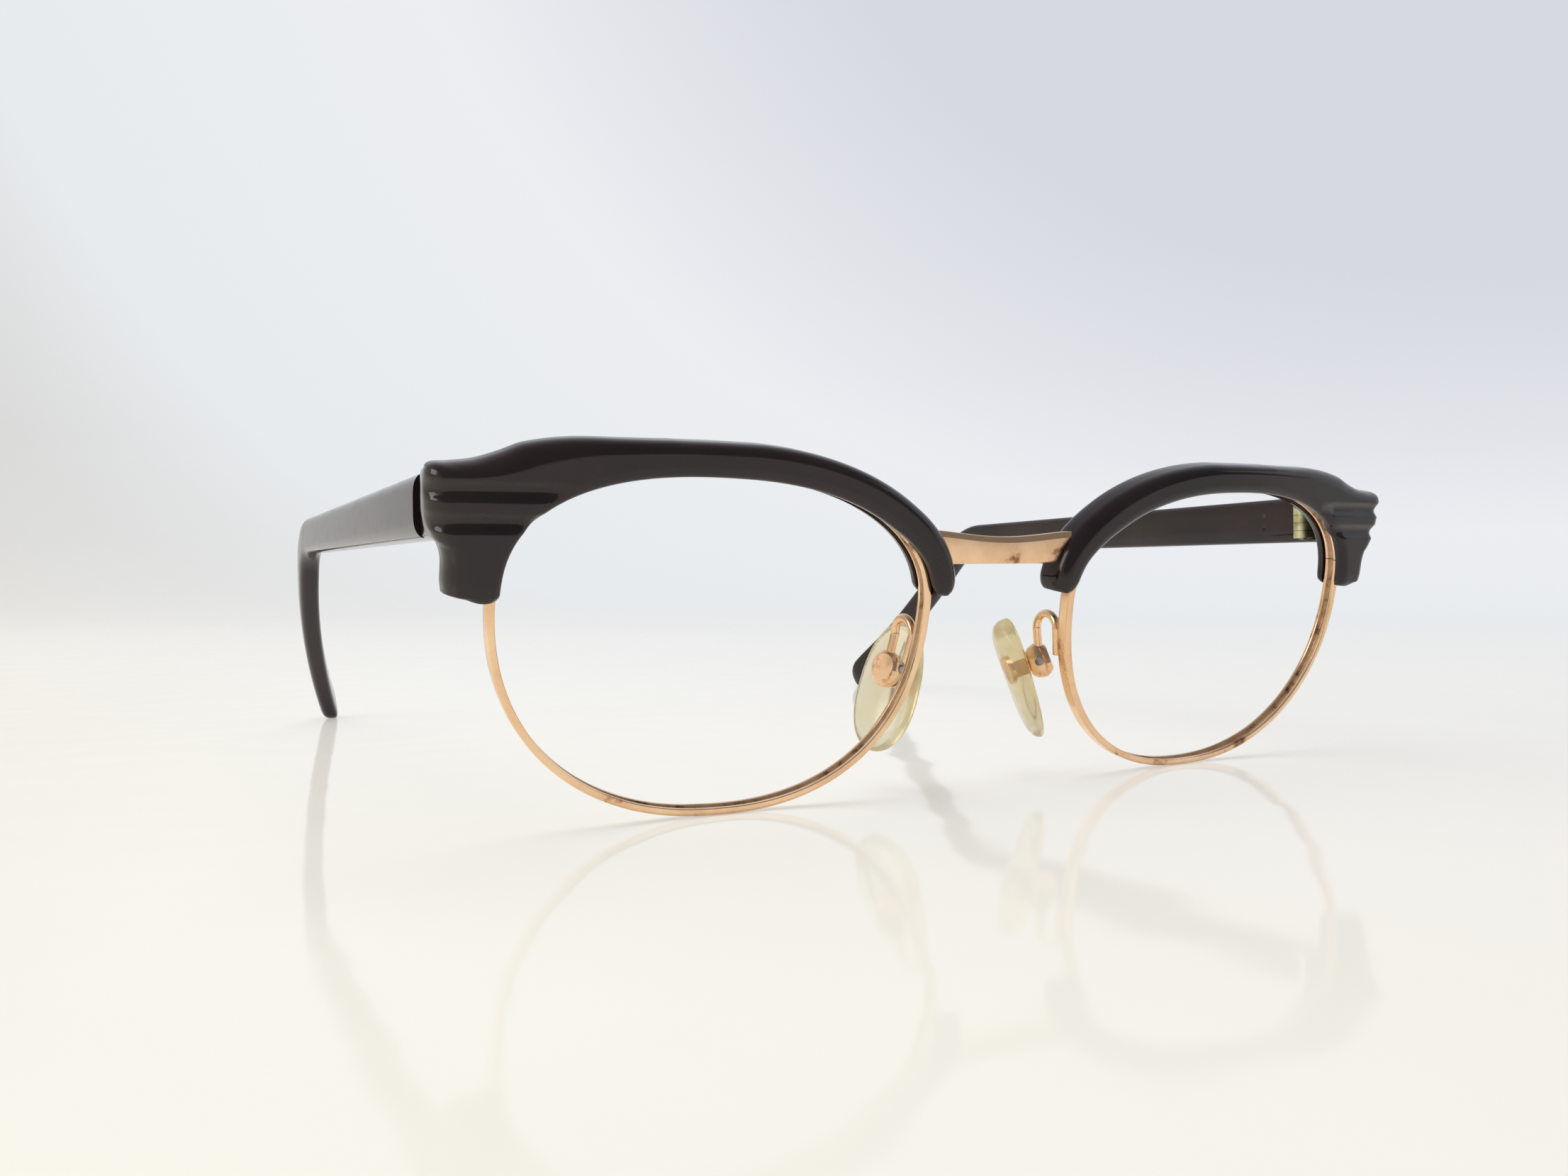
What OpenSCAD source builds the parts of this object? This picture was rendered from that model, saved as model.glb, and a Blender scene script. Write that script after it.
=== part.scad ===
// Browline glasses: acetate brow covers and temples on a rolled-gold wire front.
// The front faces -Y, the temples run back along +Y and +X is the right-hand side seen from in front.
// It stands as it is laid on a table, on the lowest points of its rims and of its temple tips.
// Each eye has a plane of its own: u runs to the temple side, v up and n to the front.

/* [Eye shape] */
// Width of an eye along the middle of its rim
eye_w = 46.8; // [43:0.1:50]
// Height of an eye above its widest line
eye_rise = 13.4; // [12:0.1:15]
// Depth of an eye below its widest line
eye_drop = 21.8; // [19:0.1:24]
// Turn of an eye in its plane, temple side up, in degrees
eye_lean = 2.2; // [0:0.1:4]
// Gap between the two eyes at their nearest
eye_gap = 19.7; // [18:0.1:23]
// Forward lean of the top of the front, in degrees
tilt = 11.3; // [8:0.1:13]
// Turn of each eye back to its temple side, in degrees
wrap = 2.4; // [0:0.1:4]
// Squareness of the upper temple-side quarter of an eye, 2 being an ellipse
square_temple_top = 2.5; // [2.2:0.05:2.8]
// Squareness of the upper nose-side quarter
square_nose_top = 2.15; // [2:0.05:2.4]
// Squareness of the lower nose-side quarter
square_nose_low = 2.35; // [2:0.05:2.6]
// Squareness of the lower temple-side quarter
square_temple_low = 2.15; // [2:0.05:2.4]

/* [Rim] */
// Thickness of the rim wire across the eye's edge
rim_w = 0.8; // [0.7:0.05:1]
// Depth of the rim wire from front to back
rim_d = 1.7; // [1.5:0.05:2]
// Width of the lens groove
groove_w = 0.8; // [0.6:0.05:1]
// Depth of the lens groove
groove_depth = 0.35; // [0.25:0.05:0.4]
// Gap where the rim is split on its temple side
split_gap = 0.1; // [0.05:0.01:0.15]

/* [Closing blocks] */
// Width of a closing block, out from the rim
block_w = 2.2; // [2.1:0.05:2.4]
// Height of each of the two closing blocks
block_h = 2.2; // [2:0.05:2.6]
// Depth of a closing block from front to back
block_d = 2.1; // [1.9:0.05:2.3]
// Diameter of the closing screw
block_screw_d = 1.2; // [1:0.05:1.3]
// Height of the wing that the upper block carries
wing_h = 2.9; // [2.5:0.05:3.2]
// Thickness of the wing
wing_t = 0.6; // [0.5:0.05:0.8]

/* [Brow cover] */
// Height of the brow bar over the middle of the rim
brow_up = 2.95; // [2.7:0.05:3.2]
// How far the brow's lips reach inside the middle of the rim
lip = 0.65; // [0.5:0.05:0.8]
// Depth of the brow from front to back
brow_d = 4.3; // [4.1:0.05:4.6]
// Clearance round the rim in its channel
channel_gap = 0.1; // [0.05:0.01:0.15]
// How far the end-piece stands out past the eye's widest point
endpiece_out = 5.95; // [5.6:0.05:6.4]
// Height of the end-piece's upper corner over the eye's widest line
corner_v = 13.4; // [13:0.1:14]
// Radius of the end-piece's corner between front and side
corner_r = 3; // [2.5:0.1:3.2]
// How far the lobe below the end-piece stands in from its side
lobe_in = 1.65; // [1.2:0.05:2]
// Height of the step from end-piece to lobe
step_v = 5.9; // [5.6:0.1:6.2]
// Height of the lobe's lower end
lobe_v = 0.5; // [0:0.1:1]
// Width of each groove across the end-piece
ridge_groove_w = 1.8; // [1.4:0.1:2.2]
// Depth of each groove across the end-piece
ridge_groove_depth = 0.5; // [0.3:0.05:0.6]
// Height of the upper groove
ridge_v = 11.1; // [10.9:0.1:11.3]
// Spacing of the two grooves
ridge_pitch = 2.9; // [2.6:0.1:3.1]
// Length of the leg from the eye plane back to the temple
leg_back = 5.7; // [5.4:0.1:6.5]
// Height of the leg and of the temple's butt
leg_h = 6.4; // [6.2:0.1:6.8]
// Thickness of the leg where it meets the temple
leg_t = 2.9; // [2.7:0.05:3.2]
// Chamfer along the leg's edges
leg_chamfer = 0.5; // [0.3:0.05:0.7]

/* [Bridge] */
// Height of the bridge strip in its middle
bridge_mid_h = 3.3; // [3:0.1:3.8]
// Height of the bridge strip at its ends
bridge_end_h = 3.75; // [3.4:0.1:4.2]
// Height of the strip's middle over the eyes' widest line
bridge_mid_v = 5.2; // [5:0.1:5.4]
// Height of the middle of the strip's ends
bridge_end_v = 5.75; // [5.6:0.05:5.9]
// Thickness of the bridge strip
bridge_t = 1.1; // [0.9:0.05:1.3]
// Bevel along the strip's upper front edge
bridge_bevel = 0.5; // [0.3:0.05:0.6]

/* [Nose pads] */
// Diameter of the pad arm's wire
arm_d = 1; // [0.9:0.05:1.2]
// Radius of the arm's arch
arch_r = 1.8; // [1.6:0.05:2]
// Width of the ball box
box_w = 3.5; // [3.3:0.05:3.8]
// Height of the ball box
box_h = 4.3; // [4:0.05:4.6]
// Thickness of the ball box between its flats
box_t = 2.6; // [2.4:0.05:2.8]
// Distance of the pad's pivot behind the eye plane
pad_back = 5.4; // [5.2:0.1:5.8]
// Height of the pad's pivot below the eyes' widest line
pad_down = 7.9; // [7.5:0.1:8.3]
// Turn of the pad's screw from the X axis, in degrees
pad_turn = 51; // [47:1:55]
// Spread of the pads to their lower ends, in degrees
pad_spread = 19.6; // [16:0.2:22]
// Length of a pad
pad_l = 14.8; // [13:0.1:16]
// Width of a pad
pad_w = 8.4; // [7.5:0.1:9]
// Thickness of a pad at its upper end
pad_t = 3; // [2.6:0.1:3.2]
// Thickness of a pad near its lower end
pad_tip_t = 1.6; // [1.3:0.1:2]
// Gap between the ball box and the pad
pad_gap = 0.35; // [0.3:0.05:0.5]
// Thickness of the pad's lug
lug_t = 0.8; // [0.6:0.05:0.9]
// Diameter of the pad's screw
pad_screw_d = 1; // [0.9:0.05:1.1]

/* [Temple] */
// Height of the temple's middle above the table
temple_z = 31.6; // [30.5:0.1:32.5]
// Length of the temple's straight part, from the hinge to the bend
temple_straight = 80; // [74:0.5:86]
// Thickness of the temple at its butt, over its crown
temple_t = 3.6; // [3.4:0.05:3.8]
// Thickness of the temple at its bend
bend_t = 3.1; // [2.9:0.05:3.3]
// Height of the temple at its bend
bend_h = 5.4; // [5:0.1:6]
// Radius of the bend over the ear
bend_r = 14; // [12:0.5:17]
// Angle of the bend, in degrees
bend = 43; // [40:0.5:47]
// Outward splay of the temples, in degrees
splay = 1.4; // [0.8:0.1:2]
// How far the ear part curves inward
ear_in = 7.5; // [6:0.5:9]
// Radius of the rounded tip
tip_r = 3.3; // [3:0.1:3.6]
// Diameter of the core wire
core_d = 1.3; // [1.1:0.05:1.4]

/* [Hinge] */
// Distance of the hinge pin inside the temple's inner face
hinge_in = 1.3; // [1.25:0.01:1.5]
// Radius of the hinge's barrel
barrel_r = 1.2; // [1.1:0.01:1.2]
// Height of the hinge's barrel
hinge_h = 5.2; // [4.8:0.1:5.4]
// Diameter of the hinge screw
hinge_screw_d = 1.2; // [1:0.05:1.3]
// Thickness of the hinge's leaves
leaf_t = 0.9; // [0.7:0.05:1]
// Depth at which the leaves lie under the acetate's inner face
leaf_under = 0.5; // [0.4:0.05:0.6]
// Length of the front's leaf
front_leaf_l = 5.4; // [4.8:0.1:5.6]
// Length of the temple's leaf
temple_leaf_l = 10; // [9.5:0.1:12]
// Diameter of the cross pins
pin_d = 0.9; // [0.7:0.05:1]

/* [Hidden] */

$fn = 32;
left = -1;
right = 1;
eps = 0.01;

gold = [0.80, 0.58, 0.43];
acetate = [0.13, 0.11, 0.11];
silver = [0.74, 0.74, 0.55];
steel = [0.62, 0.62, 0.64];
pad_yellow = [0.87, 0.88, 0.66];

// The eye: four quarter superellipses, turned by the lean
split_t = 10;
rim_steps = 72;
function quarter(t) =
  let (c = cos(t), s = sin(t))
  c >= 0 ? (s >= 0 ? square_temple_top : square_temple_low) : (s >= 0 ? square_nose_top : square_nose_low);
function half_height(t) = sin(t) >= 0 ? eye_rise : eye_drop;
function turned(p, a) = [p[0] * cos(a) - p[1] * sin(a), p[0] * sin(a) + p[1] * cos(a)];
function power(x, e) = sign(x) * pow(abs(x), e);
function eye_out(t) =
  let (e = 2 - 2 / quarter(t))
  let (g = [power(cos(t), e) / (eye_w / 2), power(sin(t), e) / half_height(t)])
  turned(g / norm(g), eye_lean);
function eye(t, out = 0) =
  let (e = 2 / quarter(t))
  turned([eye_w / 2 * power(cos(t), e), half_height(t) * power(sin(t), e)], eye_lean) + out * eye_out(t);

// Eye plane to world, with the eye's middle at height zero
function lowered(p) = [p[0], -p[1] * sin(tilt) - p[2] * cos(tilt), p[1] * cos(tilt) - p[2] * sin(tilt)];
function swung(p) = [p[0] * cos(wrap) - p[1] * sin(wrap), p[0] * sin(wrap) + p[1] * cos(wrap), p[2]];
function in_space(p) = [lens_x, 0, lens_z] + swung(lowered(p));

// The rim's section, as [outward, to the front]
rim_bevel = 0.25;
rim_section = [
  [rim_w / 2, rim_bevel - rim_d / 2], [rim_w / 2, rim_d / 2 - rim_bevel],
  [rim_w / 2 - rim_bevel, rim_d / 2], [-rim_w / 2, rim_d / 2],
  [-rim_w / 2, groove_w / 2], [groove_depth - rim_w / 2, groove_w / 6],
  [groove_depth - rim_w / 2, -groove_w / 6], [-rim_w / 2, -groove_w / 2],
  [-rim_w / 2, -rim_d / 2], [rim_w / 2 - rim_bevel, -rim_d / 2]
];
// The parameter moves this far for a millimetre of rim at the split
split_rate = 3.8;
rim_from = split_t + split_gap / 2 * split_rate;
rim_ts = [for (i = [0 : rim_steps]) rim_from + i * (360 - split_gap * split_rate) / rim_steps];
rim_rings = [for (t = rim_ts) [for (q = rim_section) let (p = eye(t, q[0])) [p[0], p[1], q[1]]]];

lens_x = (eye_gap + eye_w) / 2;
lens_z = -min([for (ring = rim_rings) for (p = ring) lowered(p)[2]]);

// The brow's outer edge: an offset of the rim along the bar, then the end-piece and its lobe
side_u = eye_w / 2 + endpiece_out;
lobe_u = side_u - lobe_in;
crest_v = corner_v + 3.05;
bar_from = 173;
bar_to = 75;
lobe_to = -1;
tip_round = [[0, 1], [75, 1], [130, 1], [150, 1.02], [160, 0.98], [166, 0.92], [169, 0.82],
             [171, 0.68], [172.3, 0.54], [173, 0.4]];
corner_us = [[1, lobe_u - 0.1], [3, lobe_u], [7, lobe_u], [10, lobe_u + 0.35],
             [12, side_u - 0.75], [15, side_u - 0.2], [18, side_u], [26, side_u], [30, side_u - 0.5],
             [35, side_u - 2.2], [40, side_u - 4.4], [45, side_u - 6.6], [50, side_u - 8.9],
             [60, side_u - 13.3], [70, side_u - 18.7], [75, side_u - 21.65]];
corner_vs = [[1, lobe_v + 0.7], [3, lobe_v + 1.7], [7, step_v - 1.3], [10, step_v],
             [12, step_v + 0.7], [15, step_v + 2], [18, step_v + 3.3], [22, step_v + 4.9],
             [26, corner_v - 1], [30, corner_v], [35, corner_v + 0.6], [40, corner_v + 1.15],
             [45, corner_v + 1.75], [50, crest_v - 0.6], [60, crest_v - 0.1], [70, crest_v + 0.05],
             [75, crest_v - 0.05]];
function brow_edge(t) =
  t > bar_to ? eye(t, brow_up * lookup(t, tip_round))
  : t == lobe_to ? eye(t, lobe_u - 0.6 - eye_w / 2)
  : [lookup(t, corner_us), lookup(t, corner_vs)];

// The brow's section at one station, with the rim's channel open to the eye
channel_n = rim_d / 2 + channel_gap;
channel_d = rim_w / 2 + channel_gap;
crown = [1.5, 1.9];
function brow_ring(t) =
  let (front = brow_d / 2)
  let (out = eye_out(t))
  let (c = eye(t))
  let (o = brow_edge(t))
  let (w = norm(o - c))
  let (d = (o - c) / w)
  let (turn = t < 50 ? 1 : t < bar_to ? (bar_to - t) / (bar_to - 50) : 0)
  let (r = min(crown[0] + turn * (corner_r - crown[0]), 0.45 * w))
  let (rn = crown[1] + turn * (corner_r - crown[1]))
  let (b = min(0.8, 0.25 * w))
  [for (q = [[-lip, channel_n], [-lip, front - 0.65], [0.35 - lip, front - 0.2], [0.4, front]])
     [c[0] + out[0] * q[0], c[1] + out[1] * q[0], q[1]],
   for (q = [[-r, front], [-r * 0.5, front - rn * 0.134], [-r * 0.134, front - rn * 0.5], [0, front - rn],
             [0, b - front], [-b * 0.3, b * 0.3 - front], [-b, -front]])
     [o[0] + d[0] * q[0], o[1] + d[1] * q[0], q[1]],
   for (q = [[0.4, -front], [0.35 - lip, 0.2 - front], [-lip, 0.65 - front], [-lip, -channel_n],
             [channel_d, -channel_n], [channel_d, channel_n]])
     [c[0] + out[0] * q[0], c[1] + out[1] * q[0], q[1]]];
brow_ts = concat([bar_from, 172.3, 171, 169, 166], [for (t = [162 : -4 : 78]) t],
                 [bar_to, 70, 65, 60, 55, 50, 45, 40, 35, 32, 30, 28, 26, 22, 18, 15, 12, 10, 7, 3, 1, lobe_to]);
brow_rings = [for (t = brow_ts) brow_ring(t)];
brow_cap = [[0, 1, 2, 3, 4, 16], [16, 4, 5, 6, 7, 8, 9, 10, 15], [15, 10, 11, 12, 13, 14]];

// The closing blocks stand on the rim's outside at its split
split_p = eye(split_t, rim_w / 2);
block_u = split_p[0] - 0.4;
block_out = split_p[0] + block_w;
rim_side = max([for (ring = rim_rings) for (p = ring) p[0]]);
block_screw_head_d = 1.5;
block_screw_u = rim_side + block_screw_head_d / 2 + 0.05;
block_gap = 0.1;
block_clear = 0.15;
screw_head_h = 0.6;
wing_u = split_p[0] - 0.5;
wing_w = 2.3;
wing_n = -0.9;
wing_top = split_p[1] + block_h + wing_h;
brow_screw_d = 1;
brow_screw_end = 1.1;
wing_hole = [wing_u + wing_w / 2 + 0.1, wing_top - 1.2];
nasal_hole = eye(156, 1.7);

// The temple's butt and the hinge
temple_leg_x = lens_x + eye_w / 2 + endpiece_out - 3.8;
hinge_y = leg_back + 0.2;
hinge_x = temple_leg_x - hinge_in;
hinge_low = temple_z - 2.65;
knuckles = 5;
knuckle_gap = 0.05;
knuckle_h = (hinge_h - (knuckles - 1) * knuckle_gap) / knuckles;
knuckle_pitch = knuckle_h + knuckle_gap;
leaf_clear = 0.05;
web_gap = 0.15;
pin_rise = 0.9;
pin_l = leaf_under + leaf_t + 0.9;
front_pin_y = hinge_y - front_leaf_l + 1.6;
temple_pin_y = 8;

// The temple's course in its own plane: straight, over the ear, and down to the tip
arc_l = bend_r * bend * PI / 180;
ear_l = (temple_z - bend_r * (1 - cos(bend)) - tip_r) / sin(bend);
tip_s = temple_straight + arc_l + ear_l;
temple_end = tip_s + tip_r;
function course(s) =
  s < temple_straight ? [s, 0, 0]
  : s < temple_straight + arc_l
    ? let (a = (s - temple_straight) / arc_l * bend)
      [temple_straight + bend_r * sin(a), -bend_r * (1 - cos(a)), a]
    : let (r = s - temple_straight - arc_l)
      [temple_straight + bend_r * sin(bend) + r * cos(bend), -bend_r * (1 - cos(bend)) - r * sin(bend), bend];
function inward(s) = s < temple_straight ? 0 : ear_in * pow((s - temple_straight) / (temple_end - temple_straight), 2);
function on_course(s, x, q) =
  let (c = course(s))
  [x - inward(s), c[0] + q * sin(c[2]), c[1] + q * cos(c[2])];
function temple_h(s) =
  lookup(s, [[0, leg_h], [temple_straight, bend_h], [tip_s - 14, bend_h - 0.3], [tip_s - 2, 2 * tip_r]]);
function temple_thick(s) = lookup(s, [[0, temple_t], [temple_straight, bend_t], [tip_s, bend_t - 0.2]]);
// The round end takes height and thickness away beyond the tip's middle
function round_end(s) = s <= tip_s ? 1 : sqrt(max(0.01, 1 - pow((s - tip_s) / tip_r, 2)));
temple_edge = 0.55;
function temple_ring(s) =
  let (k = round_end(s))
  let (h = temple_h(s) * k)
  let (t = temple_thick(s) * (0.4 + 0.6 * k))
  let (e = temple_edge * k)
  let (x0 = (temple_thick(s) - t) / 2)
  [for (q = [[0, e - h / 2], [e, -h / 2], [t - 2 * e, -h / 2], [t - e, e - h / 2], [t - 0.15 * k, -h / 5], [t, 0],
             [t - 0.15 * k, h / 5], [t - e, h / 2 - e], [t - 2 * e, h / 2], [e, h / 2], [0, h / 2 - e]])
     on_course(s, x0 + q[0], q[1])];
butt_gap = 0.1;
temple_ss = concat([butt_gap, 1.5, 20, 40, 60, 72], [for (i = [0 : 6]) temple_straight + i / 6 * arc_l],
                   [for (i = [1 : 5]) temple_straight + arc_l + i / 5 * (ear_l - 2)],
                   [for (k = [0, 0.35, 0.6, 0.8, 0.92, 0.99]) tip_s + k * tip_r]);
temple_rings = [for (s = temple_ss) temple_ring(s)];
core_from = temple_leaf_l + 1.5;
core_to = tip_s - 8;
core_x = 1.65;
function core_rings(d) =
  [for (i = [0 : 18]) let (s = core_from + i / 18 * (core_to - core_from))
     [for (a = [22.5 : 45 : 360]) on_course(s, core_x + d / 2 * cos(a), d / 2 * sin(a))]];

// The pad's pivot, and its arm from the rim's back over its arch into the ball box
pad_pivot = [lens_x - eye_w / 2 + 1, pad_back, lens_z - pad_down];
function arm_point(t) =
  let (p = eye(t))
  in_space([p[0], p[1], -(rim_d + arm_d) / 2 - 0.02]);
arm_low = arm_point(194);
arm_top = arm_point(186.5);
arch_end = arm_top + [0, 2 * arch_r, 0];
arm_in_box = 0.7;
arm_into = unit(pad_pivot - arch_end);
arm_stop = pad_pivot - (box_h / 2 - arm_in_box) * arm_into;
pad_face = box_t / 2 + pad_gap;
pad_low = -pad_l * 0.65;
lug_foot_t = 0.7;
lug_foot_y = pad_face + pad_t * 0.3;
lug_eye_r = 0.95;
function pad_ring(k) =
  let (c = 2 * k - 1)
  let (w = pad_w / 2 * pow(max(0.02, 1 - pow(abs(c), 2.4)), 0.5) * (1 - 0.07 * c))
  let (end = pow(max(0.02, 1 - pow(abs(c), 6)), 0.5))
  let (t = (pad_tip_t + (pad_t - pad_tip_t) * k) * (0.35 + 0.65 * end))
  let (y = pad_face + 0.25 * (pad_tip_t + (pad_t - pad_tip_t) * k))
  [for (a = [0 : 22.5 : 359]) [w * cos(a), y + t * sin(a) * (sin(a) > 0 ? 0.75 : 0.25), pad_low + k * pad_l]];
pad_rings = [for (k = [0, 0.02, 0.06, 0.13, 0.22, 0.35, 0.5, 0.65, 0.78, 0.87, 0.94, 0.98, 1]) pad_ring(k)];

function unit(v) = v / norm(v);

// Middle of the whole from front to back, where the model's origin lies
front_y = min([for (ring = brow_rings) for (p = ring) in_space(p)[1]]);
back_y = hinge_y + max([for (ring = temple_rings) for (p = ring) p[1] * cos(splay) - p[0] * sin(splay)]);
middle_y = (front_y + back_y) / 2;

// A closed skin through rings of equally many points, its ends cut into the convex pieces of a cap
module skin(rings, cap = undef) {
  m = len(rings[0]);
  n = len(rings);
  sides = [for (i = [0 : n - 2]) for (j = [0 : m - 1])
             let (k = (j + 1) % m)
             each [[i * m + j, i * m + k, (i + 1) * m + k], [i * m + j, (i + 1) * m + k, (i + 1) * m + j]]];
  pieces = is_undef(cap) ? [[for (j = [0 : m - 1]) j]] : cap;
  ends = [for (piece = pieces) each [[for (j = [len(piece) - 1 : -1 : 0]) piece[j]],
                                     [for (j = piece) (n - 1) * m + j]]];
  polyhedron(points = [for (ring = rings) each ring], faces = concat(sides, ends), convexity = 8);
}

// A round rod between two points
module rod(from, to, d) {
  v = to - from;
  translate(from)
    rotate([0, acos(v[2] / norm(v)), atan2(v[1], v[0])])
      cylinder(h = norm(v), d = d);
}

module placed(side) {
  translate([0, -middle_y, 0])
    mirror([side < 0 ? 1 : 0, 0, 0])
      children();
}

module in_eye() {
  translate([lens_x, 0, lens_z])
    rotate([0, 0, wrap])
      rotate([90 + tilt, 0, 0])
        children();
}

// What lies inside an offset of the eye, as a plate through its plane
module eye_plate(out, depth) {
  translate([0, 0, -depth / 2])
    linear_extrude(depth)
      polygon([for (t = rim_ts) eye(t, out)]);
}

module at_temple() {
  translate([temple_leg_x, hinge_y, temple_z])
    rotate([0, 0, -splay])
      children();
}

module at_pad() {
  translate(pad_pivot)
    rotate([0, 0, pad_turn])
      rotate([-pad_spread, 0, 0])
        children();
}

// Rolled-gold eyewire with its lens groove
module rim(side) {
  color(gold)
    placed(side)
      in_eye()
        skin(rim_rings);
}

module closing_block(side, up) {
  base_v = split_p[1] + (up > 0 ? block_gap / 2 : -block_gap / 2 - block_h);
  color(gold)
    placed(side)
      in_eye()
        difference() {
          union() {
            translate([block_u, base_v, -block_d / 2])
              cube([block_out - block_u, block_h, block_d]);
            if (up > 0)
              wing(0);
          }
          eye_plate(rim_w / 2, 2 * block_d);
          closing_screw_shank(block_screw_d + 0.04, 0.1);
          if (up < 0)
            closing_screw_head(0.04);
          else
            translate([wing_hole[0], wing_hole[1], -block_d])
              cylinder(h = 2 * block_d, d = brow_screw_d + 0.04);
        }
}

// Flat wing of the upper block that holds it in the brow cover
module wing(grow) {
  translate([wing_u - grow, split_p[1] + block_h / 2, wing_n - wing_t - grow])
    cube([wing_w + 2 * grow, wing_h + block_h / 2 + grow, wing_t + 2 * grow]);
}

// Shank of the closing screw, or its bore where it is let out at both ends
module closing_screw_shank(d, more) {
  translate([block_screw_u, split_p[1] - block_h - block_gap / 2 - more, 0])
    rotate([-90, 0, 0])
      cylinder(h = 2 * block_h + block_gap / 2 - 0.4 + 2 * more, d = d);
}

module closing_screw_head(grow) {
  translate([block_screw_u, split_p[1] - block_h - block_gap / 2 - 0.1 * sign(grow), 0])
    rotate([-90, 0, 0])
      cylinder(h = screw_head_h + 0.1 * sign(grow), d = block_screw_head_d + grow);
}

module closing_screw(side) {
  color(steel)
    placed(side)
      in_eye()
        difference() {
          union() {
            closing_screw_shank(block_screw_d, 0);
            closing_screw_head(0);
          }
          translate([block_screw_u - 1, split_p[1] - block_h - block_gap / 2 - 1, -0.15])
            cube([2, 1.25, 0.3]);
        }
}

// The bridge strip in the plane of the front, grown by a clearance where it cuts its slot
module bridge_strip(grow) {
  end_x = lens_x - eye_w / 2 + 6;
  translate([0, in_space([-eye_w / 2, 0, 0])[1], lens_z])
    rotate([90 + tilt, 0, 0])
      translate([0, 0, -bridge_t / 2 - grow])
        linear_extrude(bridge_t + 2 * grow)
          polygon([
            [0, bridge_mid_v + bridge_mid_h / 2 + grow],
            [end_x, bridge_end_v + bridge_end_h / 2 + grow],
            [end_x, bridge_end_v - bridge_end_h / 2 - grow],
            [end_x / 2, bridge_mid_v - bridge_mid_h / 2 + 0.1 - grow],
            [0, bridge_mid_v - bridge_mid_h / 2 - grow]
          ]);
}

module bridge_half() {
  end_x = lens_x - eye_w / 2 + 6;
  rise = bridge_end_v + bridge_end_h / 2 - bridge_mid_v - bridge_mid_h / 2;
  difference() {
    bridge_strip(0);
    translate([0, in_space([-eye_w / 2, 0, 0])[1], lens_z])
      rotate([90 + tilt, 0, 0])
        translate([0, bridge_mid_v + bridge_mid_h / 2, bridge_t / 2])
          rotate([0, 0, atan(rise / end_x)])
            rotate([45, 0, 0])
              translate([-1, -bridge_bevel / sqrt(2), -5 * bridge_bevel])
                cube([end_x + 2, 5, 10 * bridge_bevel]);
    in_eye() {
      eye_plate(rim_w / 2, 8);
      translate([nasal_hole[0], nasal_hole[1], -2])
        cylinder(h = 4, d = brow_screw_d + 0.04);
    }
  }
}

module bridge() {
  color(gold) {
    placed(right)
      bridge_half();
    placed(left)
      bridge_half();
  }
}

// One groove of the end-piece, from the eye round the corner on to the side
module ridge_groove(v) {
  r = (pow(ridge_groove_w / 2, 2) + pow(ridge_groove_depth, 2)) / (2 * ridge_groove_depth);
  over = r - ridge_groove_depth;
  front = brow_d / 2;
  bend_u = side_u - corner_r;
  translate([0, v, 0]) {
    translate([bend_u, 0, front + over])
      rotate([0, -90, 0])
        cylinder(h = bend_u - eye_w / 2 + 6, r = r);
    translate([bend_u, 0, front - corner_r])
      rotate([-90, 0, 0])
        rotate([0, 0, -90])
          rotate_extrude(angle = 90, $fn = 64)
            translate([corner_r + over, 0])
              circle(r = r);
    translate([side_u + over, 0, front - corner_r - 1.2])
      cylinder(h = 1.2, r = r);
    translate([side_u + over, 0, front - corner_r - 1.2])
      sphere(r = r);
  }
}

module leg() {
  out_front = side_u * cos(wrap) + lens_x - 0.1;
  low = temple_z - leg_h / 2;
  intersection() {
    translate([0, 0, low])
      linear_extrude(leg_h)
        polygon([[temple_leg_x, -0.9], [out_front, -0.9], [temple_leg_x + leg_t, leg_back], [temple_leg_x, leg_back]]);
    translate([temple_leg_x, leg_back + 1, low])
      rotate([90, 0, 0])
        linear_extrude(leg_back + 3)
          polygon([
            [0, leg_chamfer], [leg_chamfer, 0], [leg_t + 0.2, 0], [leg_t + 0.9, 0.8],
            [leg_t + 0.9, leg_h - 0.8], [leg_t + 0.2, leg_h], [leg_chamfer, leg_h], [0, leg_h - leg_chamfer]
          ]);
  }
}

// Slot for a hinge's leaf and the notch for its barrel, in the leg or in the temple
module leaf_slot(length, gap) {
  translate([leaf_under - leaf_clear, gap, -hinge_h / 2 - 0.1])
    cube([leaf_t + 2 * leaf_clear, length + leaf_clear - gap, hinge_h + 0.2]);
  translate([-1, gap, -hinge_h / 2 - 0.1])
    cube([1 + leaf_under + leaf_t / 2, barrel_r + 0.15 - gap, hinge_h + 0.2]);
}

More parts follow.
